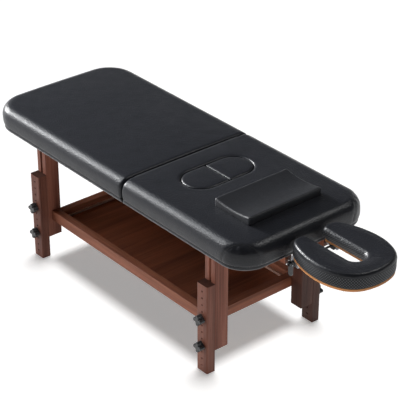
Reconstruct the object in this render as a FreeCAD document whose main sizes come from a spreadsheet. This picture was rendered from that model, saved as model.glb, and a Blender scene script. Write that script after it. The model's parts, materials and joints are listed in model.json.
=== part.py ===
import FreeCAD, Part
import math
import os
import Sketcher
from FreeCAD import Placement, Rotation, Vector

# Stationary massage table in a wooden frame: a padded top in two sections, of which the head
# section lifts on a hinge as a backrest, two lift-out plugs, a loose pillow, a plug-in face
# cradle, a storage tray and four legs whose bolted extensions set the height.
# The floor is Z = 0, +X points to the head end, and the near side is -Y.

SIZES = [
    ("pad_length", 1855, "length of the padded top over both sections"),
    ("pad_width", 760, "width of the padded top"),
    ("pad_thick", 102, "height of the cushions at the middle of their crown"),
    ("pad_crown", 4, "rise of the crown across the width"),
    ("pad_bulge", 4, "how far the sides swell past their drawn-in edges"),
    ("pad_roundover", 52, "radius of the rolled top edge"),
    ("pad_tuck", 9, "radius where the cover turns under"),
    ("foot_corner", 155, "plan radius of the two foot corners"),
    ("head_corner", 132, "plan radius of the two head corners"),
    ("seam_offset", 118, "seam from the middle of the top, to the head"),
    ("seam_gap", 8, "gap between the two cushions"),
    ("seam_round", 8, "softened edge of the cushions at the seam"),
    ("deck_thick", 15, "plywood under the cushions"),
    ("deck_inset", 12, "plywood edge inside the cushion's edge"),
    ("opening_offset", 331, "middle of the plug opening from the middle of the top"),
    ("opening_width", 180, "plug opening along the table"),
    ("opening_length", 370, "plug opening across the table"),
    ("opening_ledge", 14, "width of the deck left to carry the plugs"),
    ("plug_clearance", 1.5, "room round a plug"),
    ("plug_sink", 1, "plug tops below the cushion's crown"),
    ("plug_rim", 9, "softened rim of plugs and opening"),
    ("pillow_offset", 667, "middle of the pillow from the middle of the top"),
    ("pillow_length", 227, "pillow along the table"),
    ("pillow_width", 415, "pillow across the table"),
    ("pillow_thick", 41, "height of the pillow's raised ends"),
    ("pillow_dip", 12, "depth of the pillow's hollow"),
    ("pillow_edge", 6, "softened pillow edges"),
    ("leg_spacing", 1262, "leg centre to leg centre along the table"),
    ("leg_span", 590, "outer face to outer face of the posts across the table"),
    ("post_wide", 70, "post along the table"),
    ("post_deep", 75, "post across the table"),
    ("post_length", 534, "post from its lower end to the deck"),
    ("post_tail", 30, "post below its lower bolt"),
    ("post_edge", 4, "rounded upright edges of the posts"),
    ("groove_wide", 16, "guide groove in the post's outer face"),
    ("groove_deep", 8, "depth of the guide groove"),
    ("extension_length", 453, "leg extension"),
    ("extension_thick", 45, "leg extension across the table"),
    ("extension_edge", 7, "rounded outer edges of the extension"),
    ("hole_pitch", 35, "step between the height holes"),
    ("hole_count", 12, "height holes in an extension"),
    ("holes_below", 3, "height holes below the lower bolt"),
    ("holes_between", 4, "height holes from the lower bolt to the upper one"),
    ("hole_radius", 4.5, "radius of the height holes"),
    ("bolt_radius", 4, "radius of the leg bolts"),
    ("bolt_grip", 48, "bolt screwed into the post"),
    ("thread_depth", 18, "bolt inside the knob"),
    ("knob_flange", 15, "radius of the knob's foot"),
    ("knob_flange_high", 5, "height of the knob's foot"),
    ("knob_lobe", 9.5, "radius of a knob's lobe"),
    ("knob_reach", 17, "lobe's middle from the knob's axis"),
    ("knob_height", 30, "knob's height off the wood"),
    ("knob_valley", 3, "radius between the knob's lobes"),
    ("knob_edge", 2.5, "bevel on the outer edge of the knob"),
    ("slide_gap", 0.3, "gap between pieces that move past each other"),
    ("running_gap", 0.05, "radial clearance of a pin in its hole"),
    ("cut_past", 1, "how far a cut runs past the faces it opens"),
    ("rail_setback", 22, "tray rails and aprons behind the posts' outer faces"),
    ("rail_thick", 41, "tray rails across"),
    ("rail_height", 52, "tray rails upright"),
    ("rail_edge", 3, "softened top edges of the rails"),
    ("tray_rise", 89, "tray rails above the posts' lower ends"),
    ("panel_lift", 4, "tray panel above the rails' undersides"),
    ("panel_thick", 9, "tray panel"),
    ("panel_groove", 6, "panel edge held in the rails"),
    ("bead_size", 11, "bead over the panel's edge"),
    ("apron_thick", 22, "aprons under the deck"),
    ("apron_height", 65, "aprons upright"),
    ("bearer_thick", 44, "bearer under the seam"),
    ("board_thick", 18, "board that stands in each cushion at the seam"),
    ("board_drop", 2, "standing boards below the hinge knuckles"),
    ("hinge_length", 600, "long hinge in the seam"),
    ("hinge_depth", 12, "hinge pin below the top of the cushions"),
    ("hinge_leaf", 1.6, "thickness of a hinge leaf"),
    ("leaf_height", 36, "hinge leaf below the pin"),
    ("knuckle_radius", 3.6, "outside of the hinge knuckles"),
    ("pin_radius", 1.8, "hinge pin"),
    ("knuckle_count", 5, "knuckles along the hinge"),
    ("prop_offset", 170, "prop pivot from the seam"),
    ("prop_drop", 18, "prop pivot below the frame's top"),
    ("prop_length", 298, "prop from its pivot to its cross bar"),
    ("prop_span", 400, "between the prop's two legs"),
    ("prop_bar_length", 490, "cross bar that rests in the racks"),
    ("prop_radius", 6, "prop's round bar"),
    ("prop_ear", 8, "thickness of a prop ear"),
    ("prop_ear_half", 14, "half the width of a prop ear"),
    ("backrest_angle", 60, "highest backrest angle"),
    ("prop_angle", 110, "prop angle in its last notch"),
    ("rack_thick", 20, "notched rack on each apron"),
    ("rack_height", 30, "notched rack upright"),
    ("rack_end", 4, "rack past its outer notches"),
    ("rack_lip", 4, "rack above the middle of the cross bar"),
    ("rack_notches", 3, "notches in a rack"),
    ("notch_pitch", 30, "step between notches"),
    ("cradle_reach", 424, "face cradle past the top's head end"),
    ("cradle_drop", 15, "cradle rods below the frame's top"),
    ("rod_spacing", 222, "between the cradle's two plug-in rods"),
    ("rod_radius", 7, "cradle rods"),
    ("rod_tail", 60, "cradle rods past their sockets, inside"),
    ("socket_length", 70, "sockets for the cradle rods"),
    ("socket_half", 18, "half the socket's width"),
    ("socket_inset", 7.5, "sockets inside the top's head end"),
    ("socket_wall", 11, "socket below the rod"),
    ("pivot_offset", 28.5, "cradle pivot past the top's head end"),
    ("pivot_radius", 5, "cradle pivot rod"),
    ("knuckle_back", 14, "cradle knuckle from the pivot to the rods"),
    ("knuckle_front", 17, "cradle knuckle from the pivot to the head"),
    ("knuckle_thick", 6, "cradle knuckle, a plate on the rod's end"),
    ("knuckle_high", 16, "cradle knuckle above and below its pivot"),
    ("arm_thick", 6, "arms under the cradle's platform"),
    ("arm_height", 25, "arms upright"),
    ("arm_rise", 22, "arms above the pivot"),
    ("arm_lug", 34, "arm's lug past the pivot"),
    ("arm_round", 9, "rounded corners of the arms"),
    ("arm_length", 305, "arms past the pivot"),
    ("spacer_length", 40, "spacers on the arms"),
    ("spacer_height", 3, "spacers upright"),
    ("spacer_first", 70, "first spacer from the pivot"),
    ("spacer_second", 250, "second spacer from the pivot"),
    ("platform_thick", 10, "cradle's plywood platform"),
    ("platform_inset", 3, "platform inside the cushion's edge"),
    ("cradle_front", 193.5, "cradle cushion from its widest place to the head"),
    ("cradle_back", 214, "cradle cushion from its widest place to its tips"),
    ("cradle_half", 182, "half the width of the cradle cushion"),
    ("cradle_thick", 69, "cradle cushion"),
    ("cradle_rim", 18, "rolled top edge of the cradle cushion"),
    ("cradle_tuck", 5, "turned-under edge of the cradle cushion"),
    ("flat_radius", 260, "front and side curves of the cradle"),
    ("turn_radius", 130, "curve between the cradle's front and side"),
    ("arm_radius", 400, "long curve of the cradle's arms"),
    ("tip_radius", 75, "outer curve of the cradle's tips"),
    ("face_half", 46, "half the width of the face opening"),
    ("face_end", 82, "face opening past the cradle's widest place"),
    ("face_corner", 42, "corner radius of the face opening"),
    ("face_lap", 21, "cushion past the platform's edge, all round the face opening"),
    ("lever_length", 54, "cam lever below its pin"),
    ("lever_head", 12, "radius of the cam"),
    ("lever_cheek", 6, "thickness of a cam cheek"),
    ("lever_thick", 8, "thickness of the lever's blade"),
    ("lever_pin", 3, "radius of the cam's pin"),
    ("pin_proud", 1, "cam's pin past each cheek"),
    ("pivot_end", 1, "wall of the pivot rod past the cam's pin"),
    ("nut_radius", 9, "domed nut on the pivot rod's far end"),
    ("nut_length", 10, "length of the domed nut"),
]


class Size:
    """A length as spreadsheet text and as a number, so that a sum of sizes keeps both."""

    def __init__(self, text, number):
        self.text = str(text)
        self.number = float(number)

    def join(self, sign, other, number):
        other = getattr(other, "text", other)
        return Size(f"({self.text} {sign} {other})", number)

    def __add__(self, other):
        return self.join("+", other, self.number + getattr(other, "number", other))

    def __sub__(self, other):
        return self.join("-", other, self.number - getattr(other, "number", other))

    def __mul__(self, other):
        return self.join("*", other, self.number * getattr(other, "number", other))

    def __truediv__(self, other):
        return self.join("/", other, self.number / getattr(other, "number", other))

    def __neg__(self):
        return self * -1


doc = FreeCAD.newDocument("massage_table")
sheet = doc.addObject("Spreadsheet::Sheet", "Sizes")
for row, (alias, number, meaning) in enumerate(SIZES, start=1):
    sheet.set(f"A{row}", meaning)
    sheet.set(f"B{row}", str(number))
    sheet.setAlias(f"B{row}", alias)
doc.recompute()


def size(alias):
    """The named cell as a Size."""
    return Size(f"Sizes.{alias}", sheet.get(alias))


def bind(thing, prop, wanted):
    """Ties a property to its cells, or sets a plain number."""
    if isinstance(wanted, Size):
        thing.setExpression(prop, wanted.text)
    else:
        setattr(thing, prop, wanted)


def move(thing, corner):
    """Ties the three coordinates of a placement to their cells."""
    for axis, wanted in zip("xyz", corner):
        if not isinstance(wanted, Size):
            wanted = Size(wanted, wanted)
        thing.setExpression(f"Placement.Base.{axis}", wanted.text)


nodes = {}
ALONG = {
    "X": Rotation(Vector(0, 1, 0), 90),
    "Y": Rotation(Vector(1, 0, 0), -90),
    "Z": Rotation(),
}


def new_body(label):
    """An empty body whose label names its file."""
    body = doc.addObject("PartDesign::Body", label)
    body.Label = label
    nodes[label] = body
    return body


def block(body, name, low, high, cut=False):
    """Adds, or cuts away, a straight block between its low and high corners."""
    kind = "PartDesign::SubtractiveBox" if cut else "PartDesign::AdditiveBox"
    feature = body.newObject(kind, name)
    for prop, first, last in zip(("Length", "Width", "Height"), low, high):
        bind(feature, prop, last - first)
    move(feature, low)
    return feature


def rod(body, name, axis, start, length, radius, cut=False):
    """Adds, or cuts away, a round bar that runs from start along an axis."""
    kind = "PartDesign::SubtractiveCylinder" if cut else "PartDesign::AdditiveCylinder"
    feature = body.newObject(kind, name)
    feature.Placement = Placement(Vector(), ALONG[axis])
    bind(feature, "Radius", radius)
    bind(feature, "Height", length)
    move(feature, start)
    return feature


def round_edges(body, name, radius, wanted, kind="Fillet"):
    """Rounds, or as a Chamfer bevels, the edges of the body's last feature that the test picks."""
    doc.recompute([body])
    base = body.Tip
    picked = [f"Edge{i}" for i, edge in enumerate(base.Shape.Edges, start=1) if wanted(edge)]
    feature = body.newObject(f"PartDesign::{kind}", name)
    feature.Base = (base, picked)
    bind(feature, "Radius" if kind == "Fillet" else "Size", radius)
    doc.recompute([body])
    return feature


def runs_along(edge, axis):
    """True for a straight edge along the axis."""
    box = edge.BoundBox
    spans = {"X": box.XLength, "Y": box.YLength, "Z": box.ZLength}
    along = spans.pop(axis)
    return along > 1 and max(spans.values()) < 0.01


def mirrored(sign, low, high):
    """The two ends of a span on the far side, or of its mirror image on the near side."""
    return (low, high) if sign > 0 else (-high, -low)


def part_box(name, low, high):
    """A plain block for use in a group of like pieces."""
    box = doc.addObject("Part::Box", name)
    for prop, first, last in zip(("Length", "Width", "Height"), low, high):
        bind(box, prop, last - first)
    move(box, low)
    return box


def part_rod(name, axis, start, length, radius):
    """A plain round bar for use in a group of like pieces."""
    bar = doc.addObject("Part::Cylinder", name)
    bar.Placement = Placement(Vector(), ALONG[axis])
    bind(bar, "Radius", radius)
    bind(bar, "Height", length)
    move(bar, start)
    return bar


def join(kind, name, base, tool):
    """A boolean of two plain pieces, kind being Cut or Fuse."""
    result = doc.addObject(f"Part::{kind}", name)
    result.Base = base
    result.Tool = tool
    return result


def group(label, pieces):
    """Like pieces, kept apart, in one node."""
    compound = doc.addObject("Part::Compound", label)
    compound.Label = label
    compound.Links = pieces
    nodes[label] = compound


# Shared places, worked out from the sizes
zero = Size(0, 0)
gap = size("slide_gap")
running = size("running_gap")
past = size("cut_past")
pad_x = -(size("cradle_reach") / 2)
foot_end = pad_x - size("pad_length") / 2
head_end = pad_x + size("pad_length") / 2
seam_x = pad_x + size("seam_offset")
half_seam = size("seam_gap") / 2
half_width = size("pad_width") / 2
leg_x = {"foot": pad_x - size("leg_spacing") / 2, "head": pad_x + size("leg_spacing") / 2}
half_post = size("post_wide") / 2
post_outer = size("leg_span") / 2
post_inner = post_outer - size("post_deep")
side_sign = {"near": -1, "far": 1}

hole_margin = (size("extension_length") - size("hole_pitch") * (size("hole_count") - 1)) / 2
lower_bolt = hole_margin + size("hole_pitch") * size("holes_below")
upper_bolt = lower_bolt + size("hole_pitch") * size("holes_between")
post_bottom = lower_bolt - size("post_tail")
frame_top = post_bottom + size("post_length")
deck_top = frame_top + size("deck_thick")
pad_top = deck_top + size("pad_thick")
hinge_z = pad_top - size("hinge_depth")
lifted_bottom = frame_top + gap

bolt_bore = size("bolt_radius") + running
extension_inner = gap
extension_outer = gap + size("extension_thick")
knob_foot = extension_outer + gap


def leg_place(body, end, side, height):
    """Sets a leg piece, drawn with +Y outward from the post's outer face, at its corner."""
    turn = Rotation(Vector(0, 0, 1), 0 if side == "far" else 180)
    body.Placement = Placement(Vector(), turn)
    move(body, (leg_x[end], post_outer * side_sign[side], height))


def make_post(end, side):
    """Upright post with a guide groove and two blind bolt holes in its outer face."""
    body = new_body(f"post_{end}_{side}")
    block(body, "stock", (-half_post, -size("post_deep"), zero), (half_post, zero, size("post_length")))
    round_edges(body, "edges", size("post_edge"), lambda edge: runs_along(edge, "Z"))
    half_groove = size("groove_wide") / 2
    block(body, "groove", (-half_groove, -size("groove_deep"), zero),
          (half_groove, past, size("post_length")), cut=True)
    for name, height in (("lower", lower_bolt), ("upper", upper_bolt)):
        start = (zero, -size("bolt_grip"), height - post_bottom)
        rod(body, f"{name}_hole", "Y", start, size("bolt_grip") + past, bolt_bore, cut=True)
    leg_place(body, end, side, post_bottom)


def make_extension(end, side):
    """Sliding leg extension with a column of height holes and, above the post's lower end, a tongue for
    its groove."""
    body = new_body(f"extension_{end}_{side}")
    length = size("extension_length")
    block(body, "stock", (-half_post, extension_inner, zero), (half_post, extension_outer, length))
    outer = extension_outer.number
    round_edges(body, "edges", size("extension_edge"),
                lambda edge: runs_along(edge, "Z") and abs(edge.CenterOfMass.y - outer) < 0.1)
    half_tongue = size("groove_wide") / 2 - gap
    block(body, "tongue", (-half_tongue, gap - size("groove_deep"), post_bottom),
          (half_tongue, extension_inner + past, length))
    start = (zero, -size("groove_deep") - past, hole_margin)
    through = size("groove_deep") + extension_outer + past * 2
    hole = rod(body, "height_hole", "Y", start, through, size("hole_radius"), cut=True)
    doc.recompute([body])
    holes = body.newObject("PartDesign::LinearPattern", "height_holes")
    holes.Originals = [hole]
    upright = next(item for item in body.Origin.OriginFeatures if item.Role == "Z_Axis")
    holes.Direction = (upright, [""])
    bind(holes, "Length", size("hole_pitch") * (size("hole_count") - 1))
    bind(holes, "Occurrences", size("hole_count"))
    body.Tip = holes
    leg_place(body, end, side, zero)


def make_knob(end, side, level, height):
    """Four-lobed clamping knob on the outer end of a leg bolt."""
    body = new_body(f"knob_{end}_{side}_{level}")
    rod(body, "foot", "Y", (zero, knob_foot, zero), size("knob_flange_high"), size("knob_flange"))
    top = size("knob_height") - size("knob_flange_high")
    rod(body, "hub", "Y", (zero, knob_foot + size("knob_flange_high"), zero), top, size("knob_flange"))
    lobe_start = knob_foot + size("knob_flange_high")
    lobe = rod(body, "lobe", "Y", (size("knob_reach"), lobe_start, zero), top, size("knob_lobe"))
    doc.recompute([body])
    lobes = body.newObject("PartDesign::PolarPattern", "lobes")
    lobes.Originals = [lobe]
    across = next(item for item in body.Origin.OriginFeatures if item.Role == "Y_Axis")
    lobes.Axis = (across, [""])
    lobes.Angle = 360
    lobes.Occurrences = 4
    body.Tip = lobes
    outer = (knob_foot + size("knob_height")).number
    middle = (lobe_start + top / 2).number
    round_edges(body, "valleys", size("knob_valley"),
                lambda edge: runs_along(edge, "Y") and abs(edge.CenterOfMass.y - middle) < 0.1)
    round_edges(body, "rim", size("knob_edge"),
                lambda edge: edge.BoundBox.YLength < 0.01 and abs(edge.CenterOfMass.y - outer) < 0.1,
                "Chamfer")
    rod(body, "thread", "Y", (zero, knob_foot - past, zero), size("thread_depth") + past, bolt_bore, cut=True)
    leg_place(body, end, side, height)


def make_bolts():
    """Leg bolts: screwed home in the posts' blind holes, out through the extension into the knob."""
    bolts = []
    reach = size("bolt_grip") + knob_foot + size("thread_depth") - gap
    inner_end = post_outer - size("bolt_grip")
    for end in leg_x:
        for side, sign in side_sign.items():
            start = inner_end if sign > 0 else -inner_end - reach
            for level, height in (("lower", lower_bolt), ("upper", upper_bolt)):
                bolts.append(part_rod(f"bolt_{end}_{side}_{level}", "Y", (leg_x[end], start, height), reach,
                                      size("bolt_radius")))
    group("leg_bolts", bolts)


for end in leg_x:
    for side in side_sign:
        make_post(end, side)
        make_extension(end, side)
        make_knob(end, side, "lower", lower_bolt)
        make_knob(end, side, "upper", upper_bolt)
make_bolts()


# Storage tray between the posts: two long rails, two end rails, a grooved-in panel and its beads
rail_outer = post_outer - size("rail_setback")
rail_inner = rail_outer - size("rail_thick")
rail_low = post_bottom + size("tray_rise")
rail_high = rail_low + size("rail_height")
foot_face = leg_x["foot"] + half_post
head_face = leg_x["head"] - half_post
panel_low = rail_low + size("panel_lift")
panel_high = panel_low + size("panel_thick")
tray_foot = foot_face + size("rail_thick")
tray_head = head_face - size("rail_thick")
held = size("panel_groove")


def make_rail(label, low, high, groove_low, groove_high, along):
    """Tray rail with softened top edges and a groove for the panel."""
    body = new_body(label)
    block(body, "stock", low, high)
    top = high[2].number
    round_edges(body, "edges", size("rail_edge"),
                lambda edge: runs_along(edge, along) and abs(edge.CenterOfMass.z - top) < 0.1)
    block(body, "panel_groove", groove_low, groove_high, cut=True)


for side, sign in side_sign.items():
    inner, outer = mirrored(sign, rail_inner, rail_outer)
    cut_in, cut_out = mirrored(sign, rail_inner - past, rail_inner + held)
    make_rail(f"tray_rail_{side}", (foot_face, inner, rail_low), (head_face, outer, rail_high),
              (foot_face - past, cut_in, panel_low), (head_face + past, cut_out, panel_high), "X")
make_rail("tray_rail_foot", (foot_face, -rail_inner, rail_low), (tray_foot, rail_inner, rail_high),
          (tray_foot - held, -rail_inner - past, panel_low),
          (tray_foot + past, rail_inner + past, panel_high), "Y")
make_rail("tray_rail_head", (tray_head, -rail_inner, rail_low), (head_face, rail_inner, rail_high),
          (tray_head - past, -rail_inner - past, panel_low),
          (tray_head + held, rail_inner + past, panel_high), "Y")

panel = new_body("tray_panel")
block(panel, "sheet", (tray_foot - held, -rail_inner - held, panel_low),
      (tray_head + held, rail_inner + held, panel_high))

bead = size("bead_size")
bead_top = panel_high + bead
bead_inner = rail_inner - bead
group("tray_beads", [
    part_box("bead_near", (tray_foot, -rail_inner, panel_high), (tray_head, -bead_inner, bead_top)),
    part_box("bead_far", (tray_foot, bead_inner, panel_high), (tray_head, rail_inner, bead_top)),
    part_box("bead_foot", (tray_foot, -bead_inner, panel_high), (tray_foot + bead, bead_inner, bead_top)),
    part_box("bead_head", (tray_head - bead, -bead_inner, panel_high), (tray_head, bead_inner, bead_top)),
])


# Aprons that tie the posts together under the deck, and the bearer under the seam
apron_low = frame_top - size("apron_height")
apron_inner = rail_outer - size("apron_thick")
half_apron = size("apron_thick") / 2
half_bearer = size("bearer_thick") / 2
for side, sign in side_sign.items():
    inner, outer = mirrored(sign, apron_inner, rail_outer)
    block(new_body(f"apron_{side}"), "board", (foot_face, inner, apron_low), (head_face, outer, frame_top))
for end, middle in leg_x.items():
    block(new_body(f"apron_{end}"), "board", (middle - half_apron, -post_inner, apron_low),
          (middle + half_apron, post_inner, frame_top))
block(new_body("seam_bearer"), "board", (seam_x - half_bearer, -apron_inner, apron_low),
      (seam_x + half_bearer, apron_inner, frame_top))


# Plywood decks under the two cushions
opening_x = pad_x + size("opening_offset")
half_opening = size("opening_width") / 2
opening_round_y = size("opening_length") / 2 - half_opening


def cut_stadium(body, name, middle, shrink, low, high):
    """Cuts the plug opening, smaller all round by shrink, between two heights."""
    radius = half_opening - shrink
    block(body, f"{name}_middle", (middle - radius, -opening_round_y, low),
          (middle + radius, opening_round_y, high), cut=True)
    for side, sign in side_sign.items():
        start = (middle, opening_round_y * sign, low)
        rod(body, f"{name}_{side}", "Z", start, high - low, radius, cut=True)


def make_deck(label, low_x, high_x, low_z, corner, corner_x):
    """Plywood sheet with the cushion's two rounded corners."""
    body = new_body(label)
    half = half_width - size("deck_inset")
    block(body, "sheet", (low_x, -half, low_z), (high_x, half, deck_top))
    round_edges(body, "corners", corner - size("deck_inset"),
                lambda edge: runs_along(edge, "Z") and abs(edge.CenterOfMass.x - corner_x.number) < 0.1)
    return body


foot_seam = seam_x - half_seam
head_seam = seam_x + half_seam
deck_foot = foot_end + size("deck_inset")
deck_head = head_end - size("deck_inset")
make_deck("foot_deck", deck_foot, foot_seam, frame_top, size("foot_corner"), deck_foot)
head_deck = make_deck("head_deck", head_seam, deck_head, lifted_bottom, size("head_corner"), deck_head)
cut_stadium(head_deck, "opening", opening_x, size("opening_ledge"), lifted_bottom - past, deck_top + past)


# Cushions: a bulged and crowned section run along the table, with rolled edges
def arc_radius(chord, rise):
    """Radius of an arc from its chord and rise."""
    return (chord * chord / 4 + rise * rise) / (rise * 2)


def make_cushion(label, low_x, high_x, corner, corner_x, seam_face):
    """Cushion of one section, rolled over on its three outer sides and cut square at the seam."""
    body = new_body(label)
    sketch = body.newObject("Sketcher::SketchObject", "section")
    plane = next(item for item in body.Origin.OriginFeatures if item.Role == "YZ_Plane")
    sketch.AttachmentSupport = [(plane, "")]
    sketch.MapMode = "FlatFace"
    bulge = size("pad_bulge")
    rise = size("pad_crown")
    width = size("pad_width") - bulge * 2
    height = size("pad_thick") - rise
    half = width.number / 2
    tall = height.number
    corners = [Vector(-half, 0, 0), Vector(half, 0, 0), Vector(half, tall, 0), Vector(-half, tall, 0)]
    swell = [Vector(half + bulge.number, tall / 2, 0), Vector(0, tall + rise.number, 0),
             Vector(-half - bulge.number, tall / 2, 0)]
    sketch.addGeometry(Part.LineSegment(corners[0], corners[1]))
    for start, middle, stop in zip(corners[1:], swell, corners[2:] + corners[:1]):
        sketch.addGeometry(Part.Arc(start, middle, stop))
    constrain_section(sketch, width, height, arc_radius(height, bulge), arc_radius(width, rise))
    doc.recompute([body])
    pad = body.newObject("PartDesign::Pad", "cushion")
    pad.Profile = sketch
    bind(pad, "Length", high_x - low_x)
    move(body, (low_x, zero, deck_top))
    end = (corner_x - low_x).number
    face = (seam_face - low_x).number
    round_edges(body, "corners", corner,
                lambda edge: edge.BoundBox.XLength < 0.01 and abs(edge.CenterOfMass.x - end) < 0.1
                and edge.BoundBox.YLength < size("pad_bulge").number + 1)
    top_edge = tall - 1
    round_edges(body, "rolled_edge", size("pad_roundover"),
                lambda edge: edge.BoundBox.ZMin > top_edge and abs(edge.CenterOfMass.x - face) > 0.1)
    round_edges(body, "tuck", size("pad_tuck"),
                lambda edge: edge.BoundBox.ZMax < 0.01 and abs(edge.CenterOfMass.x - face) > 0.1)
    round_edges(body, "seam_edge", size("seam_round"),
                lambda edge: edge.BoundBox.XLength < 0.01 and abs(edge.CenterOfMass.x - face) < 0.1
                and edge.BoundBox.ZMax > size("pad_tuck").number + 1)
    return body


def constrain_section(sketch, width, height, side_radius, top_radius):
    """Ties a section's four corners to the axes and its arcs to their radii."""
    rule = Sketcher.Constraint
    for curve in range(4):
        sketch.addConstraint(rule("Coincident", curve, 2, (curve + 1) % 4, 1))
    sketch.addConstraint(rule("PointOnObject", 0, 1, -1))
    sketch.addConstraint(rule("Symmetric", 0, 1, 0, 2, -2))
    sketch.addConstraint(rule("Symmetric", 2, 1, 2, 2, -2))
    sketch.addConstraint(rule("Vertical", 1, 1, 1, 2))
    for name, wanted, constraint in (
        ("width", width, rule("DistanceX", 0, 1, 0, 2, width.number)),
        ("height", height, rule("DistanceY", 1, 1, 1, 2, height.number)),
        ("side", side_radius, rule("Radius", 1, side_radius.number)),
        ("other_side", side_radius, rule("Radius", 3, side_radius.number)),
        ("crown", top_radius, rule("Radius", 2, top_radius.number)),
    ):
        index = sketch.addConstraint(constraint)
        sketch.renameConstraint(index, name)
        sketch.setExpression(f"Constraints.{name}", wanted.text)


def cut_board_seat(body, low_x, low_face, high_face):
    """Cuts the seat of the standing board out of a cushion's seam face."""
    block(body, "board_seat", (low_face - low_x, -half_hinge, zero),
          (high_face - low_x, half_hinge, board_top - deck_top), cut=True)


half_hinge = size("hinge_length") / 2
board_top = hinge_z - size("knuckle_radius") - size("board_drop")
foot_pad = make_cushion("foot_pad", foot_end, foot_seam, size("foot_corner"), foot_end, foot_seam)
cut_board_seat(foot_pad, foot_end, foot_seam - size("board_thick"), foot_seam + past)
head_pad = make_cushion("head_pad", head_seam, head_end, size("head_corner"), head_end, head_seam)
cut_board_seat(head_pad, head_seam, head_seam - past, head_seam + size("board_thick"))

cut_stadium(head_pad, "opening", opening_x - head_seam, zero, -past, size("pad_thick") + past)
rim_low = (size("pad_thick") - size("pad_crown") - size("plug_rim")).number
rim_middle = (opening_x - head_seam).number
rim_reach = half_opening.number + 1
round_edges(head_pad, "opening_rim", size("plug_rim"),
            lambda edge: edge.BoundBox.ZMin > rim_low
            and edge.BoundBox.XMin > rim_middle - rim_reach
            and edge.BoundBox.XMax < rim_middle + rim_reach)


# Boards that stand in the cushions at the seam, and the long hinge that they carry
block(new_body("foot_edge_board"), "board", (foot_seam - size("board_thick"), -half_hinge, deck_top),
      (foot_seam, half_hinge, board_top))
block(new_body("head_edge_board"), "board", (head_seam, -half_hinge, deck_top),
      (head_seam + size("board_thick"), half_hinge, board_top))


def make_leaf(label, low_x, high_x, first):
    """Hinge leaf with every second knuckle, notched below the other leaf's knuckles."""
    body = new_body(label)
    plate_low = hinge_z - size("leaf_height")
    plate_top = hinge_z - size("knuckle_radius") - gap * 2
    block(body, "plate", (low_x, -half_hinge, plate_low), (high_x, half_hinge, plate_top))
    step = size("hinge_length") / size("knuckle_count")
    for number in range(first, int(size("knuckle_count").number), 2):
        start = step * number - half_hinge + gap
        stop = step * (number + 1) - half_hinge - gap
        block(body, f"tab_{number}", (low_x, start, plate_top - past), (high_x, stop, hinge_z))
        rod(body, f"knuckle_{number}", "Y", (seam_x, start, hinge_z), stop - start, size("knuckle_radius"))
    rod(body, "bore", "Y", (seam_x, -half_hinge - past, hinge_z), size("hinge_length") + past * 2,
        size("pin_radius") + running, cut=True)


make_leaf("hinge_leaf_foot", foot_seam, foot_seam + size("hinge_leaf"), 0)
make_leaf("hinge_leaf_head", head_seam - size("hinge_leaf"), head_seam, 1)
rod(new_body("hinge_pin"), "pin", "Y", (seam_x, -half_hinge, hinge_z), size("hinge_length"),
    size("pin_radius"))


# Lift-out plugs, each half of the opening, and the loose pillow
def make_plug(side):
    """D-shaped plug with a softened rim that stands on the deck's ledge."""
    body = new_body(f"plug_{side}")
    radius = half_opening - size("plug_clearance")
    split = size("plug_clearance") / 2
    low_y, high_y = mirrored(side_sign[side], split, opening_round_y)
    bottom = deck_top + gap
    top = pad_top - size("plug_sink")
    block(body, "middle", (opening_x - radius, low_y, bottom), (opening_x + radius, high_y, top))
    rod(body, "end", "Z", (opening_x, opening_round_y * side_sign[side], bottom), top - bottom, radius)
    round_edges(body, "rim", size("plug_rim"),
                lambda edge: edge.BoundBox.ZLength < 0.01 and abs(edge.CenterOfMass.z - top.number) < 0.1)


def make_pillow():
    """Slab pillow, hollowed along the table, lying on the head section."""
    body = new_body("pillow")
    sketch = body.newObject("Sketcher::SketchObject", "section")
    plane = next(item for item in body.Origin.OriginFeatures if item.Role == "XZ_Plane")
    sketch.AttachmentSupport = [(plane, "")]
    sketch.MapMode = "FlatFace"
    half = size("pillow_length").number / 2
    tall = size("pillow_thick").number
    low_left, low_right = Vector(-half, 0, 0), Vector(half, 0, 0)
    top_left, top_right = Vector(-half, tall, 0), Vector(half, tall, 0)
    hollow = Vector(0, tall - size("pillow_dip").number, 0)
    sketch.addGeometry(Part.LineSegment(low_left, low_right))
    sketch.addGeometry(Part.LineSegment(low_right, top_right))
    sketch.addGeometry(Part.Arc(top_left, hollow, top_right))
    sketch.addGeometry(Part.LineSegment(top_left, low_left))
    rule = Sketcher.Constraint
    for first, first_end, other, other_end in ((0, 2, 1, 1), (1, 2, 2, 2), (2, 1, 3, 1), (3, 2, 0, 1)):
        sketch.addConstraint(rule("Coincident", first, first_end, other, other_end))
    sketch.addConstraint(rule("PointOnObject", 0, 1, -1))
    sketch.addConstraint(rule("Symmetric", 0, 1, 0, 2, -2))
    sketch.addConstraint(rule("Symmetric", 2, 1, 2, 2, -2))
    sketch.addConstraint(rule("Vertical", 1))
    hollow_radius = arc_radius(size("pillow_length"), size("pillow_dip"))
    for name, wanted, constraint in (
        ("along", size("pillow_length"), rule("DistanceX", 0, 1, 0, 2, half * 2)),
        ("upright", size("pillow_thick"), rule("DistanceY", 1, 1, 1, 2, tall)),
        ("hollow", hollow_radius, rule("Radius", 2, hollow_radius.number)),
    ):
        index = sketch.addConstraint(constraint)
        sketch.renameConstraint(index, name)
        sketch.setExpression(f"Constraints.{name}", wanted.text)
    slab = body.newObject("PartDesign::Pad", "slab")
    slab.Profile = sketch
    slab.SideType = "Symmetric"
    bind(slab, "Length", size("pillow_width"))
    move(body, (pad_x + size("pillow_offset"), zero, pad_top + gap))
    round_edges(body, "edges", size("pillow_edge"), lambda edge: edge.BoundBox.ZMax > 1)


make_plug("near")
make_plug("far")
make_pillow()


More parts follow.
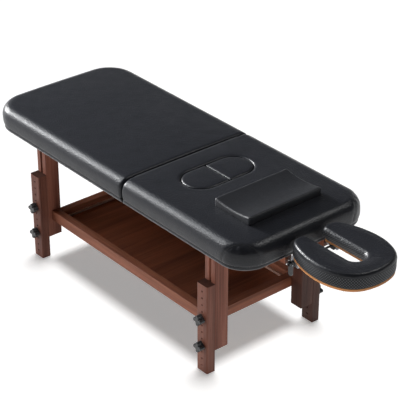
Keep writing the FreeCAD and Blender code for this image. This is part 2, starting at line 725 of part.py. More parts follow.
# Backrest prop: a bent bar that swings down from two ears under the head deck into notched racks
prop_x = seam_x + size("prop_offset")
prop_z = frame_top - size("prop_drop")
half_span = size("prop_span") / 2
bar_radius = size("prop_radius")
ear_low = half_span + bar_radius + gap
ear_high = ear_low + size("prop_ear")
stub = ear_high + 2 - half_span

prop = new_body("prop_bar")
cross_start = (prop_x + size("prop_length"), -(size("prop_bar_length") / 2), prop_z)
rod(prop, "cross_bar", "Y", cross_start, size("prop_bar_length"), bar_radius)
for side, sign in side_sign.items():
    leg_y = half_span * sign
    rod(prop, f"leg_{side}", "X", (prop_x, leg_y, prop_z), size("prop_length"), bar_radius)
    bend = prop.newObject("PartDesign::AdditiveSphere", f"bend_{side}")
    bind(bend, "Radius", bar_radius)
    move(bend, (prop_x, leg_y, prop_z))
    stub_start = mirrored(sign, half_span, half_span + stub)[0]
    rod(prop, f"stub_{side}", "Y", (prop_x, stub_start, prop_z), stub, bar_radius)

ears = []
for side, sign in side_sign.items():
    low_y, high_y = mirrored(sign, ear_low, ear_high)
    reach = size("prop_ear_half")
    plate = part_box(f"ear_plate_{side}", (prop_x - reach, low_y, prop_z - reach),
                     (prop_x + reach, high_y, lifted_bottom))
    eye = part_rod(f"ear_eye_{side}", "Y", (prop_x, low_y - past, prop_z), size("prop_ear") + past * 2,
                   bar_radius + running)
    ears.append(join("Cut", f"ear_{side}", plate, eye))
group("prop_ears", ears)

raised = math.radians(size("backrest_angle").number)
lean = math.radians((size("prop_angle") - size("backrest_angle")).number)
drop = hinge_z - prop_z
notch_x = (seam_x + size("prop_offset") * math.cos(raised) + drop * math.sin(raised)
           + size("prop_length") * math.cos(lean))
notch_z = (hinge_z + size("prop_offset") * math.sin(raised) - drop * math.cos(raised)
           - size("prop_length") * math.sin(lean))
notch_radius = bar_radius + gap
rack_top = notch_z + size("rack_lip")
rack_low_x = notch_x - notch_radius - size("rack_end")
rack_high_x = notch_x + size("notch_pitch") * (size("rack_notches") - 1) + notch_radius + size("rack_end")
racks = []
for side, sign in side_sign.items():
    low_y, high_y = mirrored(sign, apron_inner - size("rack_thick"), apron_inner)
    rack = part_box(f"rack_bar_{side}", (rack_low_x, low_y, rack_top - size("rack_height")),
                    (rack_high_x, high_y, rack_top))
    for number in range(int(size("rack_notches").number)):
        middle = notch_x + size("notch_pitch") * number
        name = f"rack_{side}_{number}"
        seat = part_rod(f"{name}_seat", "Y", (middle, low_y - past, notch_z), size("rack_thick") + past * 2,
                        notch_radius)
        mouth = part_box(f"{name}_mouth", (middle - notch_radius, low_y - past, notch_z),
                         (middle + notch_radius, high_y + past, rack_top + past))
        rack = join("Cut", name, rack, join("Fuse", f"{name}_notch", seat, mouth))
    racks.append(rack)
group("prop_racks", racks)


# Face cradle: rods in two sockets, a pivot rod with a cam lever, and a platform on two arms
cradle_z = frame_top - size("cradle_drop")
pivot_x = head_end + size("pivot_offset")
rod_y = size("rod_spacing") / 2
socket_high_x = head_end - size("socket_inset")
socket_low_x = socket_high_x - size("socket_length")
knuckle_start = pivot_x - size("knuckle_back")
arm_inner = rod_y + gap
arm_outer = arm_inner + size("arm_thick")
half_arm = size("arm_height") / 2
arm_top = cradle_z + size("arm_rise") + half_arm
platform_low = arm_top + size("spacer_height")
lever_y = -arm_outer - gap - size("lever_head")
pivot_bore = size("pivot_radius") + running

for side, sign in side_sign.items():
    low_y, high_y = mirrored(sign, rod_y - size("socket_half"), rod_y + size("socket_half"))
    socket = new_body(f"cradle_socket_{side}")
    block(socket, "stock", (socket_low_x, low_y, cradle_z - size("rod_radius") - size("socket_wall")),
          (socket_high_x, high_y, lifted_bottom))
    rod(socket, "bore", "X", (socket_low_x - past, rod_y * sign, cradle_z), size("socket_length") + past * 2,
        size("rod_radius") + running, cut=True)
    tail = socket_low_x - size("rod_tail")
    rod(new_body(f"cradle_rod_{side}"), "rod", "X", (tail, rod_y * sign, cradle_z), knuckle_start - tail,
        size("rod_radius"))

    low_y, high_y = mirrored(sign, rod_y - size("knuckle_thick"), rod_y)
    high = size("knuckle_high")
    knuckle = new_body(f"cradle_knuckle_{side}")
    block(knuckle, "stock", (knuckle_start, low_y, cradle_z - high),
          (pivot_x + size("knuckle_front"), high_y, cradle_z + high))
    round_edges(knuckle, "edges", high / 3, lambda edge: runs_along(edge, "Y"))
    rod(knuckle, "eye", "Y", (pivot_x, low_y - past, cradle_z), high_y - low_y + past * 2, pivot_bore,
        cut=True)

    low_y, high_y = mirrored(sign, arm_inner, arm_outer)
    arm = new_body(f"cradle_arm_{side}")
    block(arm, "bar", (pivot_x - half_arm, low_y, arm_top - size("arm_height")),
          (pivot_x + size("arm_length"), high_y, arm_top))
    block(arm, "lug", (pivot_x - half_arm, low_y, cradle_z - half_arm),
          (pivot_x + size("arm_lug"), high_y, arm_top))
    round_edges(arm, "corners", size("arm_round"), lambda edge: runs_along(edge, "Y"))
    rod(arm, "eye", "Y", (pivot_x, low_y - past, cradle_z), high_y - low_y + past * 2, pivot_bore, cut=True)

pivot_start = lever_y - size("lever_pin") - size("pivot_end")
nut_start = arm_outer + gap
pin_bore = size("lever_pin") + running
thread_end = nut_start + size("nut_length") / 2
pivot = new_body("cradle_pivot_rod")
rod(pivot, "rod", "Y", (pivot_x, pivot_start, cradle_z), thread_end - pivot_start, size("pivot_radius"))
rod(pivot, "pin_hole", "X", (pivot_x - size("pivot_radius") - past, lever_y, cradle_z),
    size("pivot_radius") * 2 + past * 2, pin_bore, cut=True)
nut = new_body("cradle_pivot_nut")
rod(nut, "nut", "Y", (pivot_x, nut_start, cradle_z), size("nut_length"), size("nut_radius"))
nut_end = (nut_start + size("nut_length")).number
round_edges(nut, "dome", size("nut_radius") / 2,
            lambda edge: abs(edge.CenterOfMass.y - nut_end) < 0.1, "Chamfer")
rod(nut, "thread", "Y", (pivot_x, nut_start - past, cradle_z), thread_end - nut_start + past, pivot_bore,
    cut=True)

cheek_in = size("pivot_radius") + gap
cheek_out = cheek_in + size("lever_cheek")
pin_length = (cheek_out + size("pin_proud")) * 2
pin_start = (pivot_x - pin_length / 2, lever_y, cradle_z)
rod(new_body("cam_pin"), "pin", "X", pin_start, pin_length, size("lever_pin"))
lever = new_body("cam_lever")
half_blade = size("lever_thick") / 2
block(lever, "blade", (pivot_x - cheek_out, lever_y - half_blade, cradle_z - size("lever_length")),
      (pivot_x + cheek_out, lever_y + half_blade, cradle_z - size("pivot_radius") - size("lever_pin")))
lever_low = (cradle_z - size("lever_length")).number
round_edges(lever, "tip", cheek_out - gap,
            lambda edge: runs_along(edge, "Y") and abs(edge.CenterOfMass.z - lever_low) < 0.1)
for name, start in (("cheek_low", pivot_x - cheek_out), ("cheek_high", pivot_x + cheek_in)):
    rod(lever, name, "X", (start, lever_y, cradle_z), size("lever_cheek"), size("lever_head"))
rod(lever, "eye", "X", pin_start, pin_length, pin_bore, cut=True)

spacers = []
for side, sign in side_sign.items():
    low_y, high_y = mirrored(sign, arm_inner, arm_outer)
    for name in ("spacer_first", "spacer_second"):
        start = pivot_x + size(name) - size("spacer_length") / 2
        spacers.append(part_box(f"{name}_{side}", (start, low_y, arm_top),
                                (start + size("spacer_length"), high_y, platform_low)))
group("cradle_spacers", spacers)


def bent(middle, first, last):
    """Arc about a middle between two points, the short way round."""
    away = (first - middle) + (last - middle)
    return Part.Arc(first, middle + away.normalize() * (first - middle).Length, last).toShape()


def horseshoe(inset, lap):
    """Outline of the face cradle, open to the table, smaller by inset outside and by lap at the face."""
    front = size("cradle_front").number - inset
    back = size("cradle_back").number - inset
    half = size("cradle_half").number - inset
    flat = size("flat_radius").number - inset
    turn = size("turn_radius").number - inset
    long_arc = size("arm_radius").number - inset
    tip = size("tip_radius").number - inset
    face = size("face_half").number + lap
    end = size("face_end").number + lap
    corner = size("face_corner").number + lap
    front_middle = Vector(front - flat, 0, 0)
    side_middle = Vector(0, half - flat, 0)
    between = (front_middle + side_middle) * 0.5
    across = front_middle - side_middle
    climb = math.sqrt((flat - turn) ** 2 - (across.Length / 2) ** 2)
    turn_middle = between + Vector(across.y, -across.x, 0).normalize() * climb
    front_stop = front_middle + (turn_middle - front_middle).normalize() * flat
    side_start = side_middle + (turn_middle - side_middle).normalize() * flat
    widest = Vector(0, half, 0)
    arm_middle = Vector(0, half - long_arc, 0)
    tip_x = tip - back
    tip_middle = Vector(tip_x, arm_middle.y + math.sqrt((long_arc - tip) ** 2 - tip_x ** 2), 0)
    arm_stop = arm_middle + (tip_middle - arm_middle).normalize() * long_arc
    tip_stop = Vector(-back, tip_middle.y, 0)
    nose = tip_middle.y - face
    nose_middle = Vector(nose - back, tip_middle.y, 0)
    nose_stop = Vector(nose - back, face, 0)
    inner_stop = Vector(end - corner, face, 0)
    inner_middle = Vector(end - corner, face - corner, 0)
    inner_end = Vector(end, face - corner, 0)
    half_edges = [
        bent(turn_middle, front_stop, side_start),
        bent(side_middle, side_start, widest),
        bent(arm_middle, widest, arm_stop),
        bent(tip_middle, arm_stop, tip_stop),
        bent(nose_middle, tip_stop, nose_stop),
        Part.LineSegment(nose_stop, inner_stop).toShape(),
        bent(inner_middle, inner_stop, inner_end),
    ]
    other_half = [edge.mirror(Vector(), Vector(0, 1, 0)) for edge in half_edges]
    front_edge = bent(front_middle, Vector(front_stop.x, -front_stop.y, 0), front_stop)
    end_edge = Part.LineSegment(inner_end, Vector(inner_end.x, -inner_end.y, 0)).toShape()
    return Part.Wire(Part.__sortEdges__(half_edges + other_half + [front_edge, end_edge]))


def make_horseshoe(label, inset, lap, low, thick, rim, tuck):
    """Horseshoe slab with rounded top and bottom edges, given a radius for each."""
    slab = Part.Face(horseshoe(inset.number, lap.number)).extrude(Vector(0, 0, thick.number))
    for radius, level in ((rim, thick.number), (tuck, 0)):
        edges = [edge for edge in slab.Edges
                 if edge.BoundBox.ZLength < 0.01 and abs(edge.CenterOfMass.z - level) < 0.01]
        if radius.number > 0:
            slab = slab.makeFillet(radius.number, edges)
    piece = doc.addObject("Part::Feature", label)
    piece.Label = label
    piece.Shape = slab
    nodes[label] = piece
    move(piece, (head_end + size("cradle_reach") - size("cradle_front"), zero, low))


make_horseshoe("cradle_platform", size("platform_inset"), size("face_lap"), platform_low,
               size("platform_thick"), zero, zero)
make_horseshoe("cradle_cushion", zero, zero, platform_low + size("platform_thick"), size("cradle_thick"),
               size("cradle_rim"), size("cradle_tuck"))


# Every feature has to build, every cut has to take something away, and every solid has to be sound
doc.recompute()
for item in doc.Objects:
    if "Invalid" in item.State or "Error" in item.State:
        raise RuntimeError(f"{item.Name} in {item.getParent() and item.getParent().Label} did not build")
    if item.TypeId.startswith("PartDesign::Subtractive"):
        if item.Shape.Volume > item.BaseFeature.Shape.Volume - 1:
            raise RuntimeError(f"{item.Name} cuts nothing")
os.makedirs("parts", exist_ok=True)
for label, node in nodes.items():
    shape = node.Shape
    if shape.isNull() or not shape.isValid():
        raise RuntimeError(f"{label} has no sound shape")
    shape.exportStep(f"parts/{label}.step")
print(len(nodes), "nodes written")
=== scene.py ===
import json
import math

import bmesh
import bpy
import numpy as np
from mathutils.bvhtree import BVHTree
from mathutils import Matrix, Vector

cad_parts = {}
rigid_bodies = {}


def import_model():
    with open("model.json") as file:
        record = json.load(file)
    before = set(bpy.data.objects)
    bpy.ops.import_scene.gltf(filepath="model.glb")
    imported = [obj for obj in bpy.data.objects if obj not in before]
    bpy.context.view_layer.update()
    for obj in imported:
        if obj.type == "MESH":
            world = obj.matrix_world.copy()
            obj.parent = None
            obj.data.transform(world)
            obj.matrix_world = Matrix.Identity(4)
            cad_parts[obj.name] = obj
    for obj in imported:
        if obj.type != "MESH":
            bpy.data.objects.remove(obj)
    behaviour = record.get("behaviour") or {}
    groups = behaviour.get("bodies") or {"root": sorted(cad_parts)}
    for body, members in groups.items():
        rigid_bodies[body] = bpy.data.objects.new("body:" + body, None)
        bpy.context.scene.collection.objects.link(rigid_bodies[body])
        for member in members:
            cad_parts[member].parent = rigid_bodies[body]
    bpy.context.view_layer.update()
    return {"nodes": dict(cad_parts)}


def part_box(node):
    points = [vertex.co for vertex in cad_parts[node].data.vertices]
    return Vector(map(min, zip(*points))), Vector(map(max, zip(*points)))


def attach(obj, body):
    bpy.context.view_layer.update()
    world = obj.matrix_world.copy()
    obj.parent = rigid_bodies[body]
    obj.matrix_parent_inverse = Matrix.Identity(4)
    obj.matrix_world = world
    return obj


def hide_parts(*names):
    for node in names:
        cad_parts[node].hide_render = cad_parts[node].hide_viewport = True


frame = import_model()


# Leg posts: four square hardwood uprights stained reddish brown under a thin satin lacquer.
# The grain runs up each post, and the cut ends drink more stain and go nearly black. The far post at the head
# end gets a darker copy of the stain: painted shade for the shadow that falls on that leg.
def add(tree, kind, inputs=None, **settings):
    """Adds a shader node to a tree: an input given as a socket is linked, any other value is set."""
    made = tree.nodes.new("ShaderNode" + kind)
    for key, value in settings.items():
        setattr(made, key, value)
    for key, value in (inputs or {}).items():
        if isinstance(value, bpy.types.NodeSocket):
            tree.links.new(value, made.inputs[key])
        else:
            made.inputs[key].default_value = value
    return made


def math_of(tree, operation, first, second=0.0):
    """One sum on two values, each a socket or a number."""
    return add(tree, "Math", {0: first, 1: second}, operation=operation).outputs[0]


def spread(tree, value, low, high, start=0.0, stop=1.0):
    """Value carried from the span low..high to start..stop, held at both ends."""
    return add(tree, "MapRange", {"Value": value, "From Min": low, "From Max": high,
                                  "To Min": start, "To Max": stop}).outputs["Result"]


def mixed(tree, share, first, second, blend="MIX"):
    """Two colours mixed by a share from 0 to 1."""
    made = add(tree, "Mix", {0: share, 6: first, 7: second}, data_type="RGBA", blend_type=blend)
    return made.outputs[2]


def scaled(tree, vector, size):
    """A place stretched by one factor for each axis."""
    return add(tree, "Mapping", {"Vector": vector, "Scale": size}).outputs["Vector"]


def new_group(name, inputs, outputs):
    """An empty node group with named sockets, and its two end nodes."""
    group = bpy.data.node_groups.new(name, "ShaderNodeTree")
    for label, kind in inputs:
        group.interface.new_socket(label, in_out="INPUT", socket_type="NodeSocket" + kind)
    for label, kind in outputs:
        group.interface.new_socket(label, in_out="OUTPUT", socket_type="NodeSocket" + kind)
    return group, group.nodes.new("NodeGroupInput"), group.nodes.new("NodeGroupOutput")


def use_group(tree, group, inputs):
    """The outputs of one use of a node group inside a material."""
    return add(tree, "Group", inputs, node_tree=group).outputs


def new_finish(name, **uniform):
    """A material with its shader, whose evenly spread values are set on the shader's own sockets."""
    material = bpy.data.materials.new(name)
    material.use_nodes = True
    tree = material.node_tree
    shader = tree.nodes["Principled BSDF"]
    for key, value in uniform.items():
        shader.inputs[key.replace("_", " ")].default_value = value
    return material, tree, shader


def feed(tree, shader, colour, rough, height, strength, depth):
    """Links colour, roughness and a bump of some strength and depth to a material's shader."""
    bump = add(tree, "Bump", {"Height": height, "Strength": strength, "Distance": depth})
    for key, socket in (("Base Color", colour), ("Roughness", rough), ("Normal", bump.outputs["Normal"])):
        tree.links.new(socket, shader.inputs[key])


def make_wood_figure():
    """Wood with its grain along X: slow bands and fine lines of noise stretched along the grain and bent
    by a slower noise, with short dark pores, mixed between a dark and a light colour."""
    group, ends_in, ends_out = new_group(
        "wood_figure", [("Place", "Vector"), ("Cut end", "Float"), ("Dark", "Color"), ("Light", "Color")],
        [("Colour", "Color"), ("Roughness", "Float"), ("Height", "Float")])
    place = ends_in.outputs["Place"]
    sway = add(group, "TexNoise", {"Vector": scaled(group, place, (1.5, 7, 7)), "Scale": 1.0, "Detail": 2.0})
    bend = add(group, "VectorMath", {0: sway.outputs["Color"], 1: (0.0, 0.028, 0.028)}, operation="MULTIPLY")
    bent = add(group, "VectorMath", {0: place, 1: bend.outputs[0]}, operation="ADD").outputs[0]
    bands = add(group, "TexNoise", {"Vector": scaled(group, bent, (0.9, 20, 20)), "Scale": 1.0,
                                    "Detail": 3.0}).outputs["Fac"]
    lines = add(group, "TexNoise", {"Vector": scaled(group, bent, (2.6, 150, 150)), "Scale": 1.0,
                                    "Detail": 4.0, "Roughness": 0.6}).outputs["Fac"]
    specks = add(group, "TexNoise", {"Vector": scaled(group, bent, (38, 1100, 1100)), "Scale": 1.0,
                                     "Detail": 1.0}).outputs["Fac"]
    pores = spread(group, specks, 0.58, 0.70)
    figure = math_of(group, "ADD", math_of(group, "MULTIPLY", bands, 0.6),
                     math_of(group, "MULTIPLY", lines, 0.4))
    share = spread(group, figure, 0.34, 0.66)
    colour = mixed(group, share, ends_in.outputs["Dark"], ends_in.outputs["Light"])
    shade = math_of(group, "MULTIPLY", pores, 0.4)
    colour = mixed(group, shade, colour, ends_in.outputs["Dark"])
    colour = mixed(group, math_of(group, "MULTIPLY", ends_in.outputs["Cut end"], 0.6), colour,
                   (0.006, 0.003, 0.0025, 1))
    rough = math_of(group, "ADD", spread(group, share, 0, 1, 0.56, 0.46),
                    math_of(group, "MULTIPLY", pores, 0.12))
    height = math_of(group, "SUBTRACT", math_of(group, "MULTIPLY", lines, 0.5), pores)
    group.links.new(colour, ends_out.inputs["Colour"])
    group.links.new(rough, ends_out.inputs["Roughness"])
    group.links.new(height, ends_out.inputs["Height"])
    return group


wood_figure = make_wood_figure()
grain_turn = {"X": (0, 0, 0), "Y": (0, 0, -math.pi / 2), "Z": (0, math.pi / 2, 0)}


def stained(name, along, dark, light, shift=(0, 0, 0)):
    """Stained and lacquered wood whose grain runs along one axis of the table."""
    material, tree, shader = new_finish(name, Specular_IOR_Level=0.2, Coat_Weight=0.04, Coat_Roughness=0.3)
    coords = add(tree, "TexCoord")
    place = add(tree, "Mapping", {"Vector": coords.outputs["Object"], "Location": shift,
                                  "Rotation": grain_turn[along]}).outputs["Vector"]
    faces = add(tree, "SeparateXYZ", {"Vector": coords.outputs["Normal"]}).outputs[along]
    cut_end = spread(tree, math_of(tree, "ABSOLUTE", faces), 0.8, 0.95)
    figure = use_group(tree, wood_figure, {"Place": place, "Cut end": cut_end, "Dark": (*dark, 1),
                                           "Light": (*light, 1)})
    feed(tree, shader, figure["Colour"], figure["Roughness"], figure["Height"], 0.35, 0.0004)
    return material


def dress(material, *nodes):
    """Gives a finish to the solids of that name."""
    for node in nodes:
        piece = frame["nodes"][node]
        if not piece.material_slots:
            piece.data.materials.append(material)
        for slot in piece.material_slots:
            slot.material = material


stain_dark, stain_light = (0.085, 0.026, 0.016), (0.25, 0.096, 0.062)
upright_wood = stained("upright_wood", "Z", stain_dark, stain_light)
dress(upright_wood, "post_foot_near", "post_foot_far", "post_head_near")
# A darker copy of the stain, painted shade for the far leg at the head end.
painted_shade_wood = stained("painted_shade_wood", "Z", (0.026, 0.0082, 0.0051), (0.076, 0.0275, 0.0177),
                      shift=(1.9, 0.8, 2.6))
dress(painted_shade_wood, "post_head_far")


# Leg extensions: tongued boards that slide on the posts' outer faces, drilled with a column of holes.
# They come from other boards of the same wood, so their grain is their own.
sliding_wood = stained("sliding_wood", "Z", (0.063, 0.0194, 0.0123), (0.176, 0.069, 0.046),
                       shift=(3.1, 1.7, 0.4))
dress(sliding_wood, "extension_foot_near", "extension_foot_far", "extension_head_near")
# The far extension at the head end takes the same painted shade.
dress(painted_shade_wood, "extension_head_far")


# Leg bolts and knobs: blackened steel bolts screwed into the posts, which pass through the extensions and
# are clamped by moulded knobs. The knobs' plastic has a fine spark-eroded texture and goes shiny where hands
# rub it.
def make_speckle():
    """Fine even noise for cast and moulded surfaces, with a slower noise for handled, shinier places."""
    group, ends_in, ends_out = new_group("speckle", [("Place", "Vector"), ("Grain", "Float")],
                                         [("Height", "Float"), ("Handled", "Float")])
    fine = add(group, "TexNoise", {"Vector": ends_in.outputs["Place"], "Scale": ends_in.outputs["Grain"],
                                   "Detail": 3.0})
    slow = add(group, "TexNoise", {"Vector": ends_in.outputs["Place"], "Scale": 14.0, "Detail": 2.0})
    group.links.new(fine.outputs["Fac"], ends_out.inputs["Height"])
    group.links.new(spread(group, slow.outputs["Fac"], 0.35, 0.65), ends_out.inputs["Handled"])
    return group


speckle = make_speckle()


def speckled(name, colour, handled, rough, grain, depth, **uniform):
    """A moulded or coated finish: colour and roughness go from plain to handled, over a fine grain."""
    material, tree, shader = new_finish(name, **uniform)
    coords = add(tree, "TexCoord")
    marks = use_group(tree, speckle, {"Place": coords.outputs["Object"], "Grain": grain})
    tone = mixed(tree, marks["Handled"], (*colour, 1), (*handled, 1))
    gloss = spread(tree, marks["Handled"], 0, 1, rough, rough - 0.12)
    feed(tree, shader, tone, gloss, marks["Height"], 0.4, depth)
    return material


black_steel = speckled("black_steel", (0.022, 0.022, 0.024), (0.035, 0.035, 0.037), 0.5, 900.0, 0.0002)
black_plastic = speckled("black_plastic", (0.013, 0.013, 0.014), (0.024, 0.024, 0.025), 0.3, 1500.0, 0.0002)
ends_and_sides = [f"{end}_{side}" for end in ("foot", "head") for side in ("near", "far")]
dress(black_steel, "leg_bolts")
dress(black_plastic, *[f"knob_{corner}_{level}" for corner in ends_and_sides for level in ("lower", "upper")])


# Tray: two long rails and two end rails around a thin panel, with beads along its inner edges, coloured pale
# as a painted highlight.
# The rails are grooved for the panel, whose veneer runs across the table; the beads are pinned on.
rail_dark, rail_light = (0.095, 0.028, 0.0135), (0.26, 0.092, 0.05)
long_wood = stained("long_wood", "X", rail_dark, rail_light, shift=(0.3, 2.3, 0.9))
cross_wood = stained("cross_wood", "Y", rail_dark, rail_light, shift=(1.3, 0.6, 2.2))
panel_wood = stained("panel_wood", "Y", (0.070, 0.0175, 0.0068), (0.2, 0.058, 0.025), shift=(0.2, 3.3, 1.1))
# The beads' pale colour is a painted highlight, so they show as a light line even in the shade under the top.
bead_wood = stained("bead_wood", "X", (0.3, 0.17, 0.13), (0.48, 0.3, 0.24), shift=(2.2, 0.1, 0.3))
dress(long_wood, "tray_rail_near", "tray_rail_far")
dress(cross_wood, "tray_rail_foot", "tray_rail_head")
dress(panel_wood, "tray_panel")
dress(bead_wood, "tray_beads")


# Under-frame: aprons between the posts, a bearer under the seam and the notched racks of the backrest.
# All are of the stained wood, screwed and glued from inside, and a little darker than the tray.
apron_dark, apron_light = (0.045, 0.012, 0.0062), (0.13, 0.042, 0.024)
long_apron = stained("long_apron", "X", apron_dark, apron_light, shift=(2.7, 0.4, 1.6))
cross_apron = stained("cross_apron", "Y", apron_dark, apron_light, shift=(0.8, 2.9, 0.2))
dress(long_apron, "apron_near", "apron_far", "prop_racks")
dress(cross_apron, "apron_foot", "apron_head", "seam_bearer")


# Decks and standing boards: birch plywood that carries the cushions, left raw on its faces.
# The edges are sealed black before the covers are drawn over them.
def layered(name, ply, base, face_dark, face_light, edge_dark, edge_light):
    """Plywood lying flat: veneer grain along X on the faces, even bands by height on the edges."""
    material, tree, shader = new_finish(name, Specular_IOR_Level=0.25)
    coords = add(tree, "TexCoord")
    figure = use_group(tree, wood_figure, {"Place": coords.outputs["Object"], "Cut end": 0.0,
                                           "Dark": (*face_dark, 1), "Light": (*face_light, 1)})
    height = add(tree, "SeparateXYZ", {"Vector": coords.outputs["Object"]}).outputs["Z"]
    turns = math_of(tree, "MULTIPLY", math_of(tree, "SUBTRACT", height, base), math.pi / ply)
    band = spread(tree, math_of(tree, "SINE", turns), -0.25, 0.25)
    edge = mixed(tree, band, (*edge_dark, 1), (*edge_light, 1))
    up = add(tree, "SeparateXYZ", {"Vector": coords.outputs["Normal"]}).outputs["Z"]
    flat = spread(tree, math_of(tree, "ABSOLUTE", up), 0.5, 0.7)
    tone = mixed(tree, flat, edge, figure["Colour"])
    rough = math_of(tree, "ADD", figure["Roughness"], 0.15)
    feed(tree, shader, tone, rough, figure["Height"], 0.3, 0.0003)
    return material


deck_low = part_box("head_deck")[0].z
deck_ply = layered("deck_ply", 0.0016, deck_low, (0.33, 0.2, 0.1), (0.52, 0.35, 0.2), (0.012, 0.011, 0.011),
                   (0.022, 0.02, 0.019))
dress(deck_ply, "foot_deck", "head_deck", "foot_edge_board", "head_edge_board")


# Hinge, prop and ears: a long black hinge in the seam, and a bent black bar that swings down from two ears
# to hold the backrest up. All are steel with a thin baked coat.
dress(black_steel, "hinge_leaf_foot", "hinge_leaf_head", "prop_bar", "prop_ears")
bright_steel = speckled("bright_steel", (0.42, 0.43, 0.45), (0.55, 0.56, 0.58), 0.4, 1200.0, 0.0001,
                        Metallic=1.0)
dress(bright_steel, "hinge_pin")


# Cushions of the top: foam slabs under grained black vinyl, which is drawn over the rolled edges and
# stapled under the decks. Each cover is a closed skin that swells from a slightly smaller form.
def make_vinyl_grain():
    """Leather-like grain: rounded cells about two millimetres wide on a coarser pebbling, with a finer
    noise and slow mottling."""
    group, ends_in, ends_out = new_group("vinyl_grain", [("Place", "Vector")],
                                         [("Height", "Float"), ("Mottle", "Float")])
    place = ends_in.outputs["Place"]
    cells = add(group, "TexVoronoi", {"Vector": place, "Scale": 480.0, "Smoothness": 0.6},
                feature="SMOOTH_F1").outputs["Distance"]
    fine = add(group, "TexNoise", {"Vector": place, "Scale": 1500.0, "Detail": 2.0}).outputs["Fac"]
    slow = add(group, "TexNoise", {"Vector": place, "Scale": 16.0, "Detail": 5.0, "Roughness": 0.65})
    pebbles = add(group, "TexNoise", {"Vector": place, "Scale": 150.0, "Detail": 1.0}).outputs["Fac"]
    swells = math_of(group, "ADD", math_of(group, "MULTIPLY", fine, 0.25),
                     math_of(group, "MULTIPLY", pebbles, 9.0))
    height = math_of(group, "SUBTRACT", swells, cells)
    group.links.new(height, ends_out.inputs["Height"])
    group.links.new(spread(group, slow.outputs["Fac"], 0.3, 0.7), ends_out.inputs["Mottle"])
    return group


vinyl_grain = make_vinyl_grain()


def vinyl(name, dark, light, rough, grain=0.3):
    """Grained vinyl: two near tones mottled together, with roughness that follows the mottling."""
    material, tree, shader = new_finish(name, Specular_IOR_Level=0.31)
    coords = add(tree, "TexCoord")
    marks = use_group(tree, vinyl_grain, {"Place": coords.outputs["Object"]})
    tone = mixed(tree, marks["Mottle"], (*dark, 1), (*light, 1))
    gloss = spread(tree, marks["Mottle"], 0, 1, rough + 0.05, rough - 0.05)
    feed(tree, shader, tone, gloss, marks["Height"], grain, 0.0004)
    return material


def places(mesh):
    """All points of a mesh as one array."""
    found = np.empty(len(mesh.vertices) * 3, np.float32)
    mesh.vertices.foreach_get("co", found)
    return found.reshape(-1, 3).astype(float)


def facings(mesh):
    """The outward normals of all points of a mesh."""
    found = np.empty(len(mesh.vertices) * 3, np.float32)
    mesh.vertex_normals.foreach_get("vector", found)
    return found.reshape(-1, 3).astype(float)


def put(mesh, points):
    """Moves all points of a mesh at once."""
    mesh.vertices.foreach_set("co", points.astype(np.float32).ravel())
    mesh.update()


def placed(name, data):
    """A new object in the scene."""
    made = bpy.data.objects.new(name, data)
    bpy.context.scene.collection.objects.link(made)
    return made


def as_mesh(piece):
    """The piece's mesh with its modifiers worked in."""
    depsgraph = bpy.context.evaluated_depsgraph_get()
    return bpy.data.meshes.new_from_object(piece.evaluated_get(depsgraph))


def softened(name, node, cell, swell, material, ease_steps=4, seat_deep=0.002, blow_steps=20):
    """The cushion of a solid's form: its skin in even cells, drawn in by swell along its normals, then blown
    out again as cloth with its seat held. The cover stands beyond the solid's form by swell times the rise
    over the 95th percentile of all rises, held between 0 and 1."""
    mesh = frame["nodes"][node].data.copy()
    merged = bmesh.new()
    merged.from_mesh(mesh)
    bmesh.ops.remove_doubles(merged, verts=merged.verts, dist=1e-5)
    merged.to_mesh(mesh)
    merged.free()
    piece = placed(name, mesh)
    even = piece.modifiers.new("even", "REMESH")
    even.mode, even.voxel_size = "VOXEL", cell
    ease = piece.modifiers.new("ease", "SMOOTH")
    ease.factor, ease.iterations = 0.5, ease_steps
    mesh = as_mesh(piece)
    piece.modifiers.clear()
    piece.data = mesh
    mesh.materials.clear()
    mesh.materials.append(material)
    mesh.polygons.foreach_set("use_smooth", np.ones(len(mesh.polygons), bool))
    full, outward = places(mesh), facings(mesh)
    start = full - outward * swell
    seat = np.flatnonzero(full[:, 2] < full[:, 2].min() + seat_deep)
    start[seat] = full[seat]
    put(mesh, start)
    held = piece.vertex_groups.new(name="held")
    held.add(seat.tolist(), 1.0, "REPLACE")
    cover = piece.modifiers.new("cover", "CLOTH")
    cover.settings.quality = 3
    cover.settings.mass = 0.35
    cover.settings.use_pressure = True
    cover.settings.uniform_pressure_force = 10.0
    cover.settings.effector_weights.gravity = 0.0
    cover.settings.vertex_group_mass = "held"
    cover.point_cache.frame_end = blow_steps
    for step in range(1, blow_steps + 1):
        bpy.context.scene.frame_set(step)
    risen = ((places(as_mesh(piece)) - full) * outward).sum(axis=1)
    piece.modifiers.clear()
    piece.vertex_groups.clear()
    crown = swell * np.clip(risen / np.percentile(risen, 95), 0, 1)
    put(mesh, full + outward * crown[:, None])
    bpy.context.scene.frame_set(1)
    return piece


black_vinyl = vinyl("black_vinyl", (0.0142, 0.0151, 0.0188), (0.0205, 0.0214, 0.026), 0.34, 0.4)
foot_cover = softened("foot_cover", "foot_pad", 0.008, 0.003, black_vinyl)
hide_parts("foot_pad")
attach(foot_cover, "table_frame")
head_cover = softened("head_cover", "head_pad", 0.006, 0.003, black_vinyl, ease_steps=7)
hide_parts("head_pad")
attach(head_cover, "backrest")


# Corner gussets: at the head end each corner of the cover has a sewn-in panel, an arch from the lower edge
# over the rolled edge. The seam draws the cover in, and the panel lies a little flatter than the roll.
corner_x, corner_y, corner_reach = 0.5835, 0.248, 0.132
roll, roll_start, cover_low = 0.052, 0.704, 0.660
arch_middle, arch_half, arch_high = math.radians(-46.5), math.radians(41.5), 0.109
groove_deep, groove_wide, hollow_deep, gusset_span = 0.0022, 0.007, 0.0075, 0.09
pucker_deep, pucker_turn, pucker_high, pucker_tall, pucker_wide = 0.0012, 14, 0.8, 0.16, 0.5


